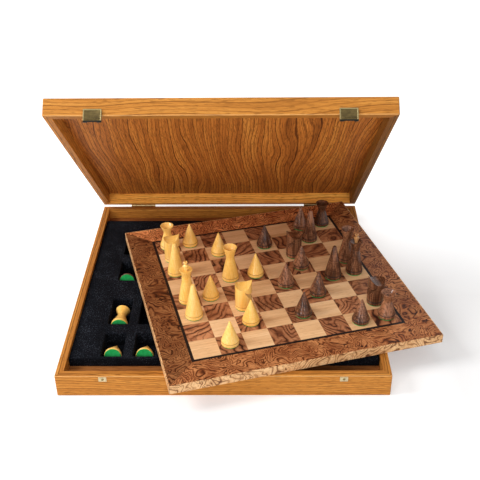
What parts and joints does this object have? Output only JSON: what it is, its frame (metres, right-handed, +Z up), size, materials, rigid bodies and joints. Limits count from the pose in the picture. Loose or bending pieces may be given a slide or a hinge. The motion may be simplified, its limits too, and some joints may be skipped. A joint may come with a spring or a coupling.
{
  "type": "chess box",
  "caption": "Hinged wooden chess box, open, with cut foam pockets inside and a loose inlaid board laid across its rims with turned chessmen standing on it.",
  "frame": {"origin": "centre of the underside of the case's bottom half", "axes": "+X right, -Y the front with the catches, +Z up"},
  "size_m": [0.5199, 0.4931, 0.3621],
  "materials": {
    "case_wood": "satin lacquer",
    "base_panel": "satin lacquer",
    "lid_panel": "satin lacquer",
    "foam": "closed-cell foam, matt",
    "brass_hardware": "brushed",
    "board_slab": "raw board",
    "burl_veneer": "satin lacquer",
    "black_line": "satin lacquer",
    "maple_veneer": "satin lacquer",
    "walnut_veneer": "satin lacquer",
    "edge_band": "satin lacquer",
    "light_man_wood": "satin lacquer",
    "dark_man_wood": "gloss lacquer"
  },
  "bodies": {
    "base": {"base_front_wall": "case_wood", "base_back_wall": "case_wood", "base_left_wall": "case_wood", "base_right_wall": "case_wood", "base_bottom_panel": "base_panel", "foam_stop_rails": "case_wood", "foam_base_sheet": "foam", "foam_insert": "foam", "keeper_plates": "brass_hardware", "hinge_base_leaves": "brass_hardware", "base_screws": "brass_hardware"},
    "hinge_pins": {"hinge_pins": "brass_hardware"},
    "lid": {"lid_front_wall": "case_wood", "lid_back_wall": "case_wood", "lid_left_wall": "case_wood", "lid_right_wall": "case_wood", "lid_top_panel": "lid_panel", "hinge_lid_leaves": "brass_hardware", "lid_screws": "brass_hardware", "catch_brackets": "brass_hardware"},
    "catch_left": {"catch_left": "brass_hardware"},
    "catch_right": {"catch_right": "brass_hardware"},
    "board": {"board_core": "board_slab", "board_border": "burl_veneer", "board_inlay_line": "black_line", "board_light_squares": "maple_veneer", "board_dark_squares": "walnut_veneer", "board_edge_banding": "edge_band"},
    "dark_bishop_1": {"dark_bishop_1": "dark_man_wood"},
    "dark_bishop_2": {"dark_bishop_2": "dark_man_wood"},
    "dark_king": {"dark_king": "dark_man_wood"},
    "dark_knight_1": {"dark_knight_1": "dark_man_wood"},
    "dark_knight_2": {"dark_knight_2": "dark_man_wood"},
    "dark_pawn_1": {"dark_pawn_1": "dark_man_wood"},
    "dark_pawn_2": {"dark_pawn_2": "dark_man_wood"},
    "dark_pawn_3": {"dark_pawn_3": "dark_man_wood"},
    "dark_pawn_4": {"dark_pawn_4": "dark_man_wood"},
    "dark_pawn_5": {"dark_pawn_5": "dark_man_wood"},
    "dark_pawn_6": {"dark_pawn_6": "dark_man_wood"},
    "dark_pawn_7": {"dark_pawn_7": "dark_man_wood"},
    "dark_pawn_8": {"dark_pawn_8": "dark_man_wood"},
    "dark_queen": {"dark_queen": "dark_man_wood"},
    "dark_rook_1": {"dark_rook_1": "dark_man_wood"},
    "dark_rook_2": {"dark_rook_2": "dark_man_wood"},
    "light_bishop_1": {"light_bishop_1": "light_man_wood"},
    "light_bishop_2": {"light_bishop_2": "light_man_wood"},
    "light_king": {"light_king": "light_man_wood"},
    "light_knight_1": {"light_knight_1": "light_man_wood"},
    "light_knight_2": {"light_knight_2": "light_man_wood"},
    "light_pawn_1": {"light_pawn_1": "light_man_wood"},
    "light_pawn_2": {"light_pawn_2": "light_man_wood"},
    "light_pawn_3": {"light_pawn_3": "light_man_wood"},
    "light_pawn_4": {"light_pawn_4": "light_man_wood"},
    "light_pawn_5": {"light_pawn_5": "light_man_wood"},
    "light_pawn_6": {"light_pawn_6": "light_man_wood"},
    "light_pawn_7": {"light_pawn_7": "light_man_wood"},
    "light_pawn_8": {"light_pawn_8": "light_man_wood"},
    "light_queen": {"light_queen": "light_man_wood"},
    "light_rook_1": {"light_rook_1": "light_man_wood"},
    "light_rook_2": {"light_rook_2": "light_man_wood"}
  },
  "joints": [
    {"name": "board_slide", "type": "slide", "parent": "base", "child": "board", "axis": [0, 1, 0], "range_m": [-0.5, 0]},
    {"name": "lid_fold", "type": "hinge", "parent": "base", "child": "hinge_pins", "pos_m": [0, 0.2245, 0.034], "axis": [-1, 0, 0], "range_deg": [-44.4, 0]},
    {"name": "lid_open", "type": "hinge", "parent": "hinge_pins", "child": "lid", "pos_m": [0, 0.2245, 0.034], "axis": [-1, 0, 0], "range_deg": [0, 135.6]},
    {"name": "catch_left_flap", "type": "hinge", "parent": "lid", "child": "catch_left", "pos_m": [-0.158, -0.0906, 0.35097], "axis": [-1, 0, 0], "range_deg": [0, 60]},
    {"name": "catch_right_flap", "type": "hinge", "parent": "lid", "child": "catch_right", "pos_m": [0.158, -0.0906, 0.35097], "axis": [-1, 0, 0], "range_deg": [0, 60]},
    {"name": "dark_bishop_1_lift", "type": "slide", "parent": "board", "child": "dark_bishop_1", "axis": [0, 0, 1], "range_m": [0, 0.06]},
    {"name": "dark_bishop_2_lift", "type": "slide", "parent": "board", "child": "dark_bishop_2", "axis": [0, 0, 1], "range_m": [0, 0.06]},
    {"name": "dark_king_lift", "type": "slide", "parent": "board", "child": "dark_king", "axis": [0, 0, 1], "range_m": [0, 0.06]},
    {"name": "dark_knight_1_lift", "type": "slide", "parent": "board", "child": "dark_knight_1", "axis": [0, 0, 1], "range_m": [0, 0.06]},
    {"name": "dark_knight_2_lift", "type": "slide", "parent": "board", "child": "dark_knight_2", "axis": [0, 0, 1], "range_m": [0, 0.06]},
    {"name": "dark_pawn_1_lift", "type": "slide", "parent": "board", "child": "dark_pawn_1", "axis": [0, 0, 1], "range_m": [0, 0.05]},
    {"name": "dark_pawn_2_lift", "type": "slide", "parent": "board", "child": "dark_pawn_2", "axis": [0, 0, 1], "range_m": [0, 0.06]},
    {"name": "dark_pawn_3_lift", "type": "slide", "parent": "board", "child": "dark_pawn_3", "axis": [0, 0, 1], "range_m": [0, 0.06]},
    {"name": "dark_pawn_4_lift", "type": "slide", "parent": "board", "child": "dark_pawn_4", "axis": [0, 0, 1], "range_m": [0, 0.06]},
    {"name": "dark_pawn_5_lift", "type": "slide", "parent": "board", "child": "dark_pawn_5", "axis": [0, 0, 1], "range_m": [0, 0.06]},
    {"name": "dark_pawn_6_lift", "type": "slide", "parent": "board", "child": "dark_pawn_6", "axis": [0, 0, 1], "range_m": [0, 0.06]},
    {"name": "dark_pawn_7_lift", "type": "slide", "parent": "board", "child": "dark_pawn_7", "axis": [0, 0, 1], "range_m": [0, 0.06]},
    {"name": "dark_pawn_8_lift", "type": "slide", "parent": "base", "child": "dark_pawn_8", "axis": [0, 0, 1], "range_m": [0, 0.06]},
    {"name": "dark_queen_lift", "type": "slide", "parent": "board", "child": "dark_queen", "axis": [0, 0, 1], "range_m": [0, 0.06]},
    {"name": "dark_rook_1_lift", "type": "slide", "parent": "board", "child": "dark_rook_1", "axis": [0, 0, 1], "range_m": [0, 0.04]},
    {"name": "dark_rook_2_lift", "type": "slide", "parent": "board", "child": "dark_rook_2", "axis": [0, 0, 1], "range_m": [0, 0.06]},
    {"name": "light_bishop_1_lift", "type": "slide", "parent": "board", "child": "light_bishop_1", "axis": [0, 0, 1], "range_m": [0, 0.06]},
    {"name": "light_bishop_2_lift", "type": "slide", "parent": "board", "child": "light_bishop_2", "axis": [0, 0, 1], "range_m": [0, 0.06]},
    {"name": "light_king_lift", "type": "slide", "parent": "board", "child": "light_king", "axis": [0, 0, 1], "range_m": [0, 0.06]},
    {"name": "light_knight_1_lift", "type": "slide", "parent": "board", "child": "light_knight_1", "axis": [0, 0, 1], "range_m": [0, 0.06]},
    {"name": "light_knight_2_lift", "type": "slide", "parent": "board", "child": "light_knight_2", "axis": [0, 0, 1], "range_m": [0, 0.06]},
    {"name": "light_pawn_1_lift", "type": "slide", "parent": "board", "child": "light_pawn_1", "axis": [0, 0, 1], "range_m": [0, 0.06]},
    {"name": "light_pawn_2_lift", "type": "slide", "parent": "board", "child": "light_pawn_2", "axis": [0, 0, 1], "range_m": [0, 0.06]},
    {"name": "light_pawn_3_lift", "type": "slide", "parent": "board", "child": "light_pawn_3", "axis": [0, 0, 1], "range_m": [0, 0.06]},
    {"name": "light_pawn_4_lift", "type": "slide", "parent": "board", "child": "light_pawn_4", "axis": [0, 0, 1], "range_m": [0, 0.06]},
    {"name": "light_pawn_5_lift", "type": "slide", "parent": "board", "child": "light_pawn_5", "axis": [0, 0, 1], "range_m": [0, 0.06]},
    {"name": "light_pawn_6_lift", "type": "slide", "parent": "board", "child": "light_pawn_6", "axis": [0, 0, 1], "range_m": [0, 0.06]},
    {"name": "light_pawn_7_lift", "type": "slide", "parent": "base", "child": "light_pawn_7", "axis": [0, 0, 1], "range_m": [0, 0.06]},
    {"name": "light_pawn_8_lift", "type": "slide", "parent": "base", "child": "light_pawn_8", "axis": [0, 0, 1], "range_m": [0, 0.06]},
    {"name": "light_queen_lift", "type": "slide", "parent": "board", "child": "light_queen", "axis": [0, 0, 1], "range_m": [0, 0.06]},
    {"name": "light_rook_1_lift", "type": "slide", "parent": "board", "child": "light_rook_1", "axis": [0, 0, 1], "range_m": [0, 0.06]},
    {"name": "light_rook_2_lift", "type": "slide", "parent": "base", "child": "light_rook_2", "axis": [0, 0, 1], "range_m": [0, 0.06]}
  ],
  "couplings": [
    {"joint": "lid_fold", "follows": "board_slide", "rad_per_m": 1.5498}
  ]
}
